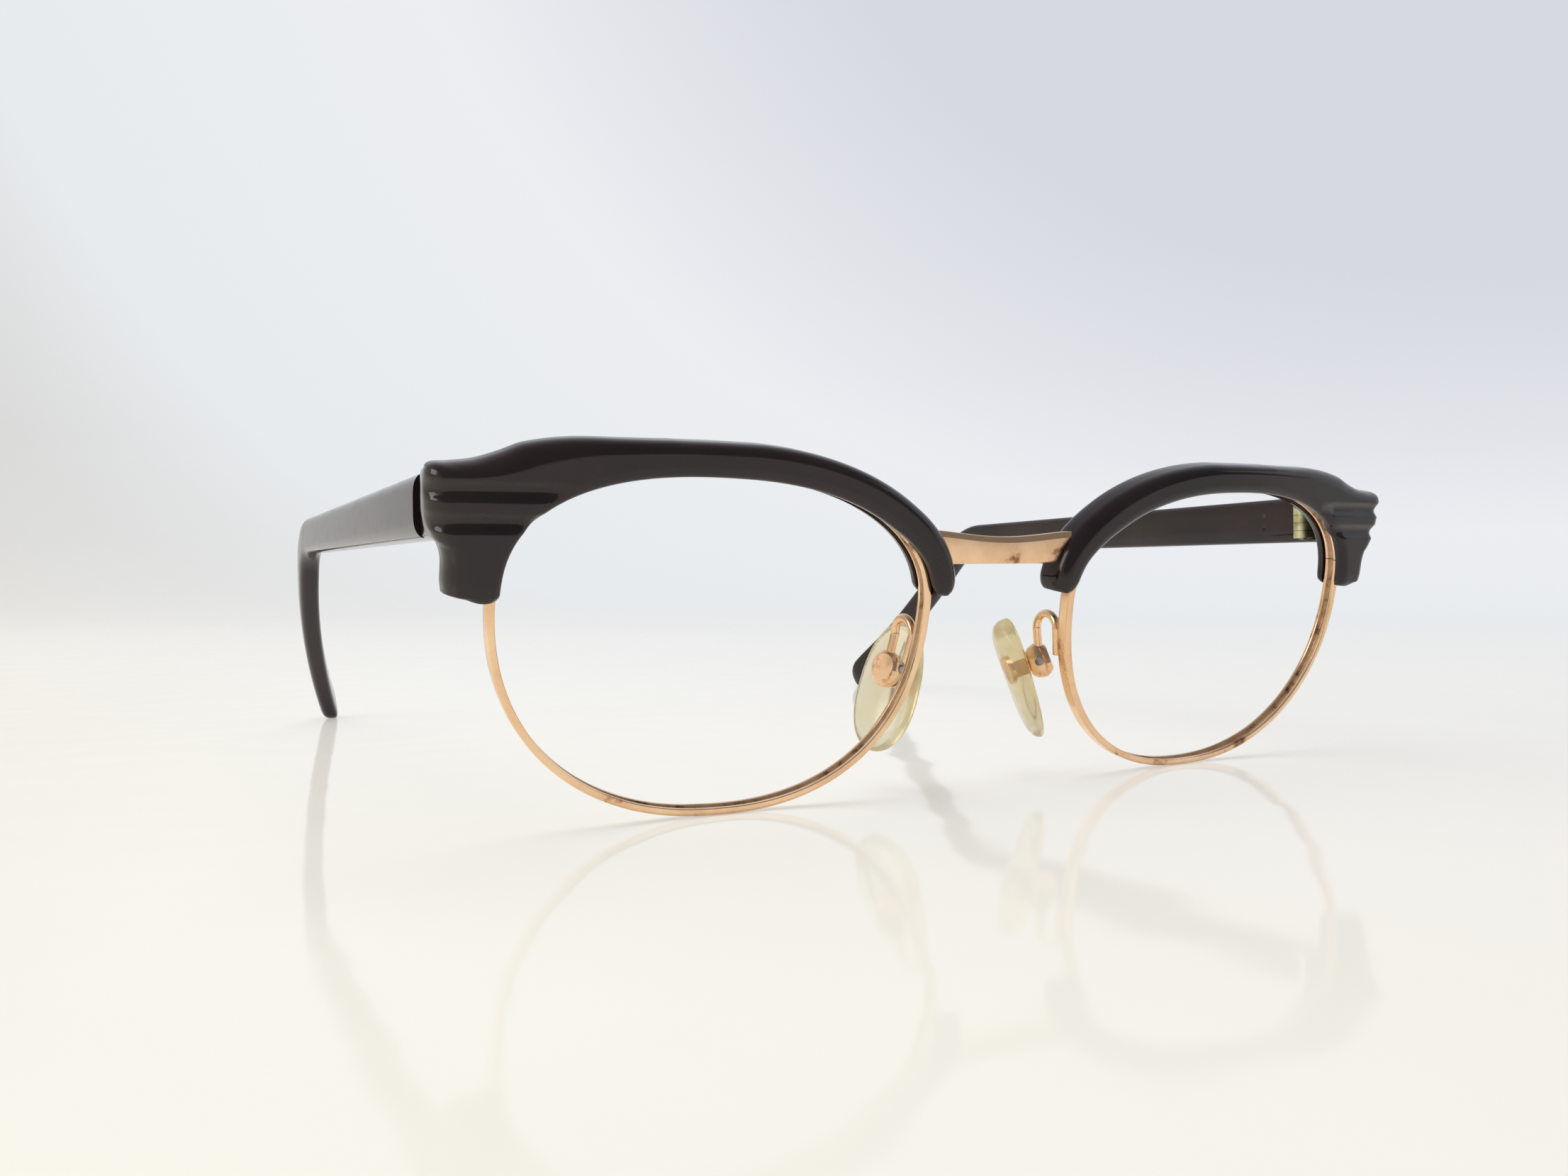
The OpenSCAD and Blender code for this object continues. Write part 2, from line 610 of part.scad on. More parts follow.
module brow(side) {
  color(acetate)
    placed(side)
      difference() {
        union() {
          in_eye()
            skin(brow_rings, brow_cap);
          leg();
        }
        in_eye() {
          ridge_groove(ridge_v);
          ridge_groove(ridge_v - ridge_pitch);
          // Pocket for the closing blocks, the wing and the screw heads, open at the back
          translate([block_u, split_p[1] - block_h - block_gap / 2 - block_clear, -brow_d])
            cube([block_out + block_clear - block_u, 2 * block_h + block_gap + 2 * block_clear,
                  brow_d + block_d / 2 + block_clear]);
          translate([wing_u - block_clear, split_p[1], -brow_d])
            cube([wing_w + 2 * block_clear, wing_top - split_p[1] + block_clear, brow_d + wing_n + eps]);
          translate([wing_hole[0], wing_hole[1], wing_n - 1])
            cylinder(h = 1 + brow_screw_end - wing_n + 0.1, d = brow_screw_d + 0.02);
          // Screw at the bridge, countersunk in the back
          translate([nasal_hole[0], nasal_hole[1], -brow_d / 2 - 1])
            cylinder(h = brow_d / 2 + 1 + brow_screw_end + 0.1, d = brow_screw_d + 0.02);
          translate([nasal_hole[0], nasal_hole[1], -brow_d / 2 - 1])
            cylinder(h = 1 + screw_head_h + 0.1, d = 2);
          // Saw cut in the back lip under the bridge
          translate([-eye_w / 2 - 1, bridge_end_v - bridge_end_h / 2 - 0.65, -brow_d])
            cube([3.4, 0.45, brow_d - bridge_t / 2]);
        }
        bridge_strip(channel_gap);
        translate([temple_leg_x, hinge_y, temple_z])
          mirror([0, 1, 0])
            leaf_slot(front_leaf_l, 0);
        translate([temple_leg_x, front_pin_y, temple_z])
          cross_pins(pin_d + 0.02, 0.5);
      }
}

module brow_screw_nasal(side) {
  color(steel)
    placed(side)
      in_eye()
        translate([nasal_hole[0], nasal_hole[1], 0])
          back_screw(-brow_d / 2 + 0.1);
}

module brow_screw_temporal(side) {
  color(steel)
    placed(side)
      in_eye()
        translate([wing_hole[0], wing_hole[1], 0])
          back_screw(wing_n - wing_t - screw_head_h);
}

// Slotted screw whose head starts at a depth of the back, pointing to the front
module back_screw(head_n) {
  difference() {
    union() {
      translate([0, 0, head_n])
        cylinder(h = screw_head_h, d = 1.8);
      translate([0, 0, head_n])
        cylinder(h = brow_screw_end - head_n, d = brow_screw_d);
    }
    translate([-1, -0.15, head_n - 1])
      cube([2, 0.3, 1.25]);
  }
}

// Gooseneck wire, brazed on the back of the rim and into the ball box
module pad_arm(side) {
  color(gold)
    placed(side) {
      rod(arm_low, arm_top, arm_d);
      translate(arm_top)
        sphere(d = arm_d + 0.03);
      translate((arm_top + arch_end) / 2)
        rotate([0, -90, 0])
          rotate([0, 0, -90])
            rotate_extrude(angle = 180, $fn = 64)
              translate([arch_r, 0])
                circle(d = arm_d);
      translate(arch_end)
        sphere(d = arm_d + 0.03);
      rod(arch_end, arm_stop, arm_d);
    }
}

// Egg-shaped box with two flats, slotted for the pad's lug
module pad_box(side) {
  color(gold)
    placed(side)
      difference() {
        at_pad()
          difference() {
            intersection() {
              rotate_extrude($fn = 48)
                polygon([for (a = [-90 : 15 : 90]) [box_w / 2 * cos(a), box_h / 2 * sin(a)]]);
              translate([-box_w, -box_t / 2, -box_h])
                cube([2 * box_w, box_t, 2 * box_h]);
            }
            translate([-lug_t / 2 - 0.05, -lug_eye_r - 0.05, -1.5])
              cube([lug_t + 0.1, box_t, 2.8]);
            pad_screw_body(0.04);
          }
        rod(arch_end, arm_stop + eps * arm_into, arm_d + 0.02);
      }
}

module pad_screw_body(grow) {
  translate([-box_w / 2 - 0.3, 0, 0])
    rotate([0, 90, 0])
      cylinder(h = box_w + 0.3 - 0.2, d = pad_screw_d + grow);
  translate([box_w / 2 - 0.6, 0, 0])
    rotate([0, 90, 0])
      cylinder(h = 0.4 + 10 * grow, d = 1.6 + grow);
}

module pad_screw(side) {
  color(steel)
    placed(side)
      at_pad()
        difference() {
          pad_screw_body(0);
          translate([box_w / 2 - 0.4, -1, -0.15])
            cube([1, 2, 0.3]);
        }
}

module lug() {
  difference() {
    union() {
      translate([-lug_t / 2, 0, 0])
        rotate([0, 90, 0])
          cylinder(h = lug_t, r = lug_eye_r);
      translate([-lug_t / 2, 0, -0.9])
        cube([lug_t, lug_foot_y, 1.8]);
      translate([0, lug_foot_y, 0.2])
        rotate([-90, 0, 0])
          cylinder(h = lug_foot_t, r = 1.7);
    }
    translate([-lug_t, 0, 0])
      rotate([0, 90, 0])
        cylinder(h = 2 * lug_t, d = pad_screw_d + 0.1);
  }
}

module pad_lug(side) {
  color(gold)
    placed(side)
      at_pad()
        lug();
}

module nose_pad(side) {
  color(pad_yellow)
    placed(side)
      at_pad()
        difference() {
          skin(pad_rings);
          lug();
        }
}

// Knuckles of the barrel, counted from below, each with its web to the leaf
module knuckle_stack(list, web_from, web_to) {
  for (i = list) {
    translate([hinge_x, hinge_y, hinge_low + i * knuckle_pitch])
      cylinder(h = knuckle_h, r = barrel_r);
    translate([hinge_x, hinge_y + web_from, hinge_low + i * knuckle_pitch])
      cube([hinge_in + leaf_under + leaf_t / 2, web_to - web_from, knuckle_h]);
  }
}

module hinge_bore(d) {
  translate([hinge_x, hinge_y, hinge_low - 1])
    cylinder(h = hinge_h + 2, d = d);
}

module cross_pins(d, extra) {
  for (z = [-pin_rise, pin_rise])
    translate([-extra, 0, z])
      rotate([0, 90, 0])
        cylinder(h = pin_l + extra, d = d);
}

module front_hinge(side) {
  color(silver)
    placed(side)
      difference() {
        union() {
          knuckle_stack([0, 2, 4], -barrel_r, -web_gap);
          translate([temple_leg_x + leaf_under, hinge_y - front_leaf_l, temple_z - hinge_h / 2])
            cube([leaf_t, front_leaf_l - 0.25, hinge_h]);
        }
        hinge_bore(hinge_screw_d + 0.02);
        translate([hinge_x, hinge_y, hinge_low + hinge_h - 0.6])
          cylinder(h = 1, d = 2.02);
        translate([temple_leg_x, front_pin_y, temple_z])
          cross_pins(pin_d + 0.02, 0.5);
      }
}

module front_hinge_pins(side) {
  color(silver)
    placed(side)
      translate([temple_leg_x, front_pin_y, temple_z])
        cross_pins(pin_d, 0);
}

module temple_hinge(side) {
  color(silver)
    placed(side)
      difference() {
        union() {
          knuckle_stack([1, 3], web_gap, barrel_r);
          at_temple()
            translate([leaf_under, 0.25, -hinge_h / 2])
              cube([leaf_t, temple_leaf_l - 0.25, hinge_h]);
        }
        hinge_bore(hinge_screw_d + 0.1);
        at_temple()
          translate([0, temple_pin_y, 0])
            cross_pins(pin_d + 0.02, 0.5);
      }
}

module temple_hinge_pins(side) {
  color(silver)
    placed(side)
      at_temple()
        translate([0, temple_pin_y, 0])
          cross_pins(pin_d, 0);
}

module hinge_screw(side) {
  color(steel)
    placed(side)
      difference() {
        union() {
          translate([hinge_x, hinge_y, hinge_low - 0.2])
            cylinder(h = hinge_h - 0.2, d = hinge_screw_d);
          translate([hinge_x, hinge_y, hinge_low + hinge_h - 0.6])
            cylinder(h = 0.7, d = 2);
        }
        translate([hinge_x - 0.15, hinge_y - 2, hinge_low + hinge_h - 0.2])
          cube([0.3, 4, 1]);
      }
}

// Acetate temple with a crowned outer face and a drop end
module temple(side) {
  color(acetate)
    placed(side)
      at_temple()
        difference() {
          skin(temple_rings);
          leaf_slot(temple_leaf_l, 0);
          translate([0, temple_pin_y, 0])
            cross_pins(pin_d + 0.02, 0.5);
          skin(core_rings(core_d + 0.1));
        }
}

module temple_core(side) {
  color(silver)
    placed(side)
      at_temple()
        skin(core_rings(core_d));
}

rim(left);  // rim_left
rim(right);  // rim_right
bridge();
closing_block(left, 1);  // closing_block_upper_left
closing_block(right, 1);  // closing_block_upper_right
closing_block(left, -1);  // closing_block_lower_left
closing_block(right, -1);  // closing_block_lower_right
closing_screw(left);  // closing_screw_left
closing_screw(right);  // closing_screw_right
brow(left);  // brow_left
brow(right);  // brow_right
brow_screw_nasal(left);  // brow_screw_nasal_left
brow_screw_nasal(right);  // brow_screw_nasal_right
brow_screw_temporal(left);  // brow_screw_temporal_left
brow_screw_temporal(right);  // brow_screw_temporal_right
pad_arm(left);  // pad_arm_left
pad_arm(right);  // pad_arm_right
pad_box(left);  // pad_box_left
pad_box(right);  // pad_box_right
pad_screw(left);  // pad_screw_left
pad_screw(right);  // pad_screw_right
pad_lug(left);  // pad_lug_left
pad_lug(right);  // pad_lug_right
nose_pad(left);  // nose_pad_left
nose_pad(right);  // nose_pad_right
front_hinge(left);  // front_hinge_left
front_hinge(right);  // front_hinge_right
front_hinge_pins(left);  // front_hinge_pins_left
front_hinge_pins(right);  // front_hinge_pins_right
temple(left);  // temple_left
temple(right);  // temple_right
temple_core(left);  // temple_core_left
temple_core(right);  // temple_core_right
temple_hinge(left);  // temple_hinge_left
temple_hinge(right);  // temple_hinge_right
temple_hinge_pins(left);  // temple_hinge_pins_left
temple_hinge_pins(right);  // temple_hinge_pins_right
hinge_screw(left);  // hinge_screw_left
hinge_screw(right);  // hinge_screw_right
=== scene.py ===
import bpy
import math
from mathutils import Matrix, Vector


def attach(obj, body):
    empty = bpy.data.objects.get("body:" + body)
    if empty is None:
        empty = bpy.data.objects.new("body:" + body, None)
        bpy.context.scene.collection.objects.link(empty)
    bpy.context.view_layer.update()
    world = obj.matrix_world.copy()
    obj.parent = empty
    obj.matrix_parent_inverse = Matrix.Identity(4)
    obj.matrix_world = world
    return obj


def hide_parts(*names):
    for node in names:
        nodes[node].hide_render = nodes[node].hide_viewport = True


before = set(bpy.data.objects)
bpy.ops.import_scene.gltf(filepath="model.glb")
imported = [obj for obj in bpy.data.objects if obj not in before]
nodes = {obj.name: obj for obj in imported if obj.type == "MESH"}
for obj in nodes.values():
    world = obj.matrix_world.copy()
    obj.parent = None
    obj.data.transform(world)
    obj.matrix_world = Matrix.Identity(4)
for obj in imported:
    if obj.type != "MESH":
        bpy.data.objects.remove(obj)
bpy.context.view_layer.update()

# Camera: stood in front of the left temple, a little above the table, as the two rims in the
# photograph show when they are taken as mirror images of each other.
camera_place, camera_nearest = (-0.084, -0.171374, 0.0245), 0.005
lens_mm, sensor_mm = 28.02, 36
yaw, pitch, roll = (math.radians(a) for a in (27.3, 0.53, -0.71))
look = Vector((math.sin(yaw) * math.cos(pitch), math.cos(yaw) * math.cos(pitch),
               -math.sin(pitch)))
level = Vector((math.cos(yaw), -math.sin(yaw), 0))
upward = level.cross(look)
right = level * math.cos(roll) + upward * math.sin(roll)
top = upward * math.cos(roll) - level * math.sin(roll)
bpy.ops.object.camera_add()
camera = bpy.context.object
camera.matrix_world = (Matrix.Translation(camera_place)
                       @ Matrix((right, top, -look)).transposed().to_4x4())
camera.data.sensor_width = sensor_mm
camera.data.lens = lens_mm
camera.data.clip_start = camera_nearest
bpy.context.scene.camera = camera


# Table: a glossy white card, ivory near by, that sweeps up at the back into a cool pale backdrop.
# Its surface is a little uneven, so that what it mirrors wavers.
def from_hex(code):
    """Colour of an sRGB hex code, as the linear values that a shader takes."""
    parts = [int(code[i:i + 2], 16) / 255 for i in (0, 2, 4)]
    return tuple(c / 12.92 if c <= 0.04045 else ((c + 0.055) / 1.055) ** 2.4
                 for c in parts) + (1,)


def new_material(name, **sockets):
    """A node material, its shader's sockets set to the values; returns it and the shader."""
    material = bpy.data.materials.new(name)
    material.use_nodes = True
    shader = material.node_tree.nodes["Principled BSDF"]
    for key, value in sockets.items():
        shader.inputs[key.replace("_", " ")].default_value = value
    return material, shader


def add(material, kind, settings=None, links=None, **sockets):
    """Adds a node: settings are its properties, sockets its values and links what feeds them.
    A socket goes by its name, with _ for a space, or by i and its number."""
    node = material.node_tree.nodes.new(kind)
    for key, value in (settings or {}).items():
        setattr(node, key, value)
    for key, value in sockets.items():
        key = int(key[1:]) if key[0] == "i" and key[1:].isdigit() else key.replace("_", " ")
        node.inputs[key].default_value = value
    for key, source in (links or {}).items():
        material.node_tree.links.new(source, node.inputs[key])
    return node


def clouds(material, scale, detail, **more):
    """Value of a noise that goes through the piece; the scale is per metre."""
    place = add(material, "ShaderNodeTexCoord").outputs["Object"]
    return add(material, "ShaderNodeTexNoise", links={"Vector": place}, Scale=scale,
               Detail=detail, **more).outputs["Fac"]


def tint(material, shader, source, stops):
    """Lets the colour follow a value through stops of place and hex; returns the colour."""
    node = add(material, "ShaderNodeValToRGB", links={"Fac": source})
    while len(node.color_ramp.elements) < len(stops):
        node.color_ramp.elements.new(0.5)
    for element, (place, code) in zip(node.color_ramp.elements, stops):
        element.position = place
        element.color = from_hex(code)
    material.node_tree.links.new(node.outputs["Color"], shader.inputs["Base Color"])
    return node.outputs["Color"]


def bumpy(material, shader, source, strength, distance):
    """Lets the surface seem to rise and fall with a value."""
    bump = add(material, "ShaderNodeBump", links={"Height": source}, Strength=strength,
               Distance=distance)
    material.node_tree.links.new(bump.outputs["Normal"], shader.inputs["Normal"])


card_corners, card_cut_y = 96, -0.62
reach, rise = 0.02, 0
card_sweep = [(0.3, 0), (0.6, 0), (0.7, 0.004), (0.8, 0.02), (0.92, 0.06), (1.04, 0.13),
              (1.14, 0.24), (1.2, 0.38), (1.23, 0.55), (1.23, 0.9)]
bpy.ops.object.select_all(action="DESELECT")
bpy.ops.mesh.primitive_circle_add(vertices=card_corners, radius=reach, fill_type="NGON",
                                  location=(0, 0, 0))
table = bpy.context.object
table.name = "table"
bpy.ops.object.mode_set(mode="EDIT")
for radius, height in card_sweep:
    bpy.ops.mesh.extrude_region_move(TRANSFORM_OT_translate={"value": (0, 0, height - rise)})
    bpy.ops.transform.resize(value=(radius / reach, radius / reach, 1),
                             center_override=(0, 0, height))
    reach, rise = radius, height
bpy.ops.mesh.delete(type="ONLY_FACE")
bpy.ops.mesh.select_all(action="SELECT")
bpy.ops.mesh.bisect(plane_co=(0, card_cut_y, 0), plane_no=(0, -1, 0), clear_outer=True)
bpy.ops.mesh.select_all(action="SELECT")
bpy.ops.mesh.normals_make_consistent(inside=True)
bpy.ops.object.mode_set(mode="OBJECT")
bpy.ops.object.shade_smooth()

# Glossy card: ivory near by and a cool grey far back, with clear but weak reflections that
# waver by ripples some 17 mm long.
card, card_shader = new_material("glossy white card", Roughness=0.07, IOR=1.36)
place = add(card, "ShaderNodeTexCoord").outputs["Object"]
away = add(card, "ShaderNodeVectorMath", {"operation": "DOT_PRODUCT"}, {0: place},
           i1=(0.7, 0.25, 0.35))
far = add(card, "ShaderNodeMapRange", links={"Value": away.outputs["Value"]},
          From_Min=-0.15, From_Max=1.05)
colour = tint(card, card_shader, far.outputs["Result"],
              [(0.0, "f6f3e4"), (0.12, "f8f5ee"), (0.28, "ececeb"), (0.42, "e7ebee"),
               (0.69, "eceef2"), (0.93, "d6d9e0")])
bumpy(card, card_shader, clouds(card, 60.0, 1.0), 0.07, 0.002)
# Where it is seen, straight or in a reflection, it also shows its own colour: wholly in the
# backdrop and less near the object, whose shadow it keeps. It lights nothing that way.
ray = add(card, "ShaderNodeLightPath").outputs
seen = add(card, "ShaderNodeMath", {"operation": "MAXIMUM"},
           {0: ray["Is Camera Ray"], 1: ray["Is Glossy Ray"]})
seen = add(card, "ShaderNodeMath", {"operation": "MAXIMUM"},
           {0: seen.outputs[0], 1: ray["Is Transmission Ray"]})
own = add(card, "ShaderNodeMapRange", links={"Value": far.outputs["Result"]},
          From_Min=0.18, From_Max=0.4, To_Min=0.4, To_Max=1.0)
own = add(card, "ShaderNodeMath", {"operation": "MULTIPLY"},
          {0: own.outputs["Result"], 1: seen.outputs[0]})
plain = add(card, "ShaderNodeEmission", links={"Color": colour}, Strength=1.0)
both = add(card, "ShaderNodeMixShader",
           links={0: own.outputs[0], 1: card_shader.outputs[0], 2: plain.outputs[0]})
card_output = card.node_tree.nodes["Material Output"]
card.node_tree.links.new(both.outputs[0], card_output.inputs["Surface"])
table.data.materials.append(card)

# Light: a wide soft box over the back that no polish mirrors, a second from the left, and a room
# pale at the back but dimmer above and where the viewer stands, so polished fronts stay dark.
world = bpy.data.worlds.new("pale room")
bpy.context.scene.world = world
world.use_nodes = True
room = world.node_tree.nodes["Background"]
room.inputs["Color"].default_value = from_hex("eceef2")
direction = add(world, "ShaderNodeTexCoord").outputs["Generated"]
back = add(world, "ShaderNodeVectorMath", {"operation": "DOT_PRODUCT"}, {0: direction},
           i1=(0, 0.8, -0.6))
behind = add(world, "ShaderNodeMapRange", links={"Value": back.outputs["Value"]},
             From_Min=-0.5, From_Max=0.4, To_Min=0.25, To_Max=1.0)
seen = add(world, "ShaderNodeLightPath").outputs["Is Camera Ray"]
strength = add(world, "ShaderNodeMix", links={"Factor": seen, "A": behind.outputs["Result"]},
               i3=1.0)
world.node_tree.links.new(strength.outputs["Result"], room.inputs["Strength"])
aim = Vector((0, 0, 0.02))
for name, size, spot, power, mirrored in [
        ("soft box above", 0.9, (-0.15, 0.2, 0.75), 6.0, False),
        ("soft box left", 0.35, (-0.65, -0.05, 0.35), 1.2, True)]:
    bpy.ops.object.light_add(type="AREA", location=spot)
    lamp = bpy.context.object
    lamp.name = name
    lamp.data.size = size
    lamp.data.energy = power
    lamp.visible_glossy = mirrored
    lamp.rotation_euler = (aim - Vector(spot)).to_track_quat("-Z", "Y").to_euler()
bpy.context.scene.view_settings.view_transform = "Standard"

# Rims: rolled-gold eyewire, a flat wire with a V groove for the lens, bent round the eye's shape
# and split at its temple side. From here on sizes are in millimetres. Left is the viewer's left,
# t is the angle round an eye, 0 at its temple side and 90 at its top, and middle_y is the way
# from the zero of the CAD source back to the middle of the whole.
sides = [(-1, "left"), (1, "right")]
middle_y = 59.9742
eye_w, eye_rise, eye_drop, eye_lean = 46.8, 13.4, 21.8, 2.2
eye_x, eye_z = 33.25, 21.9119
tilt, wrap = math.radians(11.3), math.radians(2.4)
eye_square = {(1, 1): 2.5, (-1, 1): 2.15, (-1, -1): 2.35, (1, -1): 2.15}
rim_front = [(0.4, 0.3), (0.4, 0.6), (0.375, 0.7), (0.31, 0.79), (0.2, 0.845), (-0.2, 0.85),
             (-0.33, 0.83), (-0.39, 0.77), (-0.4, 0.68), (-0.4, 0.45), (-0.37, 0.38),
             (-0.2, 0.25), (-0.08, 0.15), (-0.05, 0.06)]
rim_section = rim_front + [(q, -n) for q, n in reversed(rim_front)]
rim_steps, groove_columns = 360, range(10, 17)
split_t, split_gap_t = 10, 0.38


def turned(p, degrees):
    """A point of a plane, turned about its origin."""
    a = math.radians(degrees)
    return Vector((p[0] * math.cos(a) - p[1] * math.sin(a),
                   p[0] * math.sin(a) + p[1] * math.cos(a)))


def eye_parts(t):
    """Cosine, sine, squareness and half height of the eye at t."""
    c, s = math.cos(math.radians(t)), math.sin(math.radians(t))
    q = eye_square[(1 if c >= 0 else -1, 1 if s >= 0 else -1)]
    return c, s, q, eye_rise if s >= 0 else eye_drop


def eye_out(t):
    """Direction out of the eye at t, in its plane."""
    c, s, q, half = eye_parts(t)
    e = 2 - 2 / q
    across = Vector((math.copysign(abs(c) ** e, c) / (eye_w / 2),
                     math.copysign(abs(s) ** e, s) / half))
    return turned(across.normalized(), eye_lean)


def eye(t, out=0):
    """Middle of the rim at t, in the eye's plane, moved out by a distance."""
    c, s, q, half = eye_parts(t)
    e = 2 / q
    p = (eye_w / 2 * math.copysign(abs(c) ** e, c), half * math.copysign(abs(s) ** e, s))
    return turned(p, eye_lean) + out * eye_out(t)


def in_space(u, v, n):
    """A point of the right eye's plane, n in front of it, as a place of the model."""
    y = -v * math.sin(tilt) - n * math.cos(tilt)
    z = v * math.cos(tilt) - n * math.sin(tilt)
    return Vector((eye_x + u * math.cos(wrap) - y * math.sin(wrap),
                   u * math.sin(wrap) + y * math.cos(wrap) - middle_y, eye_z + z))


def wrapped(name, rings, side, smooth, marked=()):
    """A grid laid round a row of sections, its seam merged and its two ends closed.
    The faces in the marked columns take the second material."""
    rows, columns = len(rings), len(rings[0])
    bpy.ops.object.select_all(action="DESELECT")
    bpy.ops.mesh.primitive_grid_add(x_subdivisions=columns, y_subdivisions=rows - 1, size=1)
    piece = bpy.context.object
    piece.name = name
    for row, ring in enumerate(rings):
        for column in range(columns + 1):
            p = ring[column % columns]
            vertex = piece.data.vertices[row * (columns + 1) + column]
            vertex.co = Vector((side * p[0], p[1], p[2])) / 1000
    for row in range(rows - 1):
        for column in marked:
            piece.data.polygons[row * columns + column].material_index = 1
    bpy.ops.object.mode_set(mode="EDIT")
    bpy.ops.mesh.select_all(action="SELECT")
    bpy.ops.mesh.remove_doubles(threshold=0.000002)
    bpy.ops.mesh.select_all(action="DESELECT")
    bpy.ops.mesh.select_mode(type="EDGE")
    bpy.ops.mesh.select_non_manifold(extend=False, use_wire=False, use_multi_face=False,
                                     use_non_contiguous=False, use_verts=False)
    bpy.ops.mesh.edge_face_add()
    bpy.ops.mesh.select_all(action="SELECT")
    bpy.ops.mesh.normals_make_consistent(inside=False)
    bpy.ops.object.mode_set(mode="OBJECT")
    bpy.ops.object.shade_smooth_by_angle(angle=math.radians(smooth))
    return piece


def roughen(material, shader, source, span, roughness):
    """Lets the roughness go from one number to another as a value goes through the span."""
    rough = add(material, "ShaderNodeMapRange", links={"Value": source}, From_Min=span[0],
                From_Max=span[1], To_Min=roughness[0], To_Max=roughness[1])
    material.node_tree.links.new(rough.outputs["Result"], shader.inputs["Roughness"])


# Rolled gold: a pinkish alloy layer on bronze, drawn and polished. A soft gleam, with brown and
# duller tarnish in patches some 6 mm wide and smaller, and pits of 0.4 mm that blur it.
gold, gold_shader = new_material("worn rolled gold", Metallic=1.0)
patches = clouds(gold, 170.0, 6.0, Roughness=0.62)
tint(gold, gold_shader, patches,
     [(0.26, "6d4a38"), (0.31, "b58765"), (0.36, "efc59d"), (0.6, "f7d2ab"), (0.75, "fbdab6")])
roughen(gold, gold_shader, patches, (0.3, 0.55), (0.35, 0.13))
bumpy(gold, gold_shader, clouds(gold, 2500.0, 3.0), 0.03, 0.00003)

# Painted shade in the lens groove: a thin, darker and duller brown that the gold shows through,
# mottled in crumbs of about 2 mm and smaller.
groove_shade, groove_shade_shader = new_material("grime in the groove", Metallic=0.6, Roughness=0.5)
tint(groove_shade, groove_shade_shader, clouds(groove_shade, 420.0, 6.0, Roughness=0.7),
     [(0.3, "3a2c23"), (0.38, "7d604b"), (0.46, "bd9673"), (0.7, "dab592")])

rings = []
for i in range(rim_steps + 1):
    t = split_t + split_gap_t / 2 + i * (360 - split_gap_t) / rim_steps
    rings.append([in_space(*eye(t, q), n) for q, n in rim_section])
for side, hand in sides:
    rim = wrapped("rim_wire_" + hand, rings, side, 35, groove_columns)
    rim.data.materials.append(gold)
    # The faces of the lens groove take the painted groove shade as their second material.
    rim.data.materials.append(groove_shade)
    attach(rim, "front")
    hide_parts("rim_" + hand)

# Bridge: a strip of rolled gold, waisted in its middle, bevelled along its upper front edge, with
# its ends let into the brow covers and held there by a screw each.
bridge_mid_h, bridge_end_h, bridge_mid_v, bridge_end_v, bridge_t = 3.0, 3.75, 5.35, 5.75, 1.1
bridge_waist, bridge_step, bridge_steps = 12, 0.4, 24
bridge_y = in_space(-eye_w / 2, 0, 0)[1]


def bridge_ring(x):
    """Section of the bridge at x from its middle, its edges rounded and its bevel at the top."""
    k = 0.5 - 0.5 * math.cos(min(1, abs(x) / bridge_waist) * math.pi)
    up = bridge_mid_v + (bridge_end_v - bridge_mid_v) * k
    half = (bridge_mid_h + (bridge_end_h - bridge_mid_h) * k) / 2
    b = bridge_t / 2
    ring = []
    for v, n in [(-half, 0.3 - b), (-half, b - 0.3), (-half + 0.06, b - 0.12),
                 (-half + 0.2, b - 0.02), (-half + 0.4, b), (half - 0.62, b),
                 (half - 0.5, b - 0.03), (half - 0.42, b - 0.08), (half - 0.12, b - 0.42),
                 (half - 0.03, b - 0.52), (half, b - 0.66), (half - 0.03, 0.12 - b),
                 (half - 0.12, 0.04 - b), (half - 0.3, -b), (-half + 0.3, -b),
                 (-half + 0.08, 0.08 - b)]:
        ring.append((x, bridge_y - (up + v) * math.sin(tilt) - n * math.cos(tilt),
                     eye_z + (up + v) * math.cos(tilt) - n * math.sin(tilt)))
    return ring


rings = [bridge_ring(i * bridge_step) for i in range(-bridge_steps, bridge_steps + 1)]
bridge = wrapped("bridge_strip", rings, 1, 30)
bridge.data.materials.append(gold)
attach(bridge, "front")
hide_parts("bridge")


# Closing blocks, pad arms, ball boxes and lugs: cut or bent from the same rolled gold; all but
# the lugs, which the pads carry, are brazed on. Their CAD shapes are used as they are.
def dress(prefixes, material):
    """Gives a material to the CAD's own pieces whose names start so."""
    for name, obj in nodes.items():
        if name.startswith(prefixes):
            for slot in obj.material_slots:
                slot.material = material


dress(("closing_block", "pad_arm", "pad_box", "pad_lug"), gold)

# Screws: turned steel with slotted heads, as the CAD has them. They close the rims and hold the
# brow covers, pads and temples. A grey, slightly dulled metal, mottled by the millimetre.
steel, steel_shader = new_material("turned steel", Metallic=1.0, Roughness=0.35)
tint(steel, steel_shader, clouds(steel, 900.0, 4.0), [(0.35, "6f6a64"), (0.6, "a9a8a6")])
dress(("closing_screw", "brow_screw", "pad_screw", "hinge_screw"), steel)

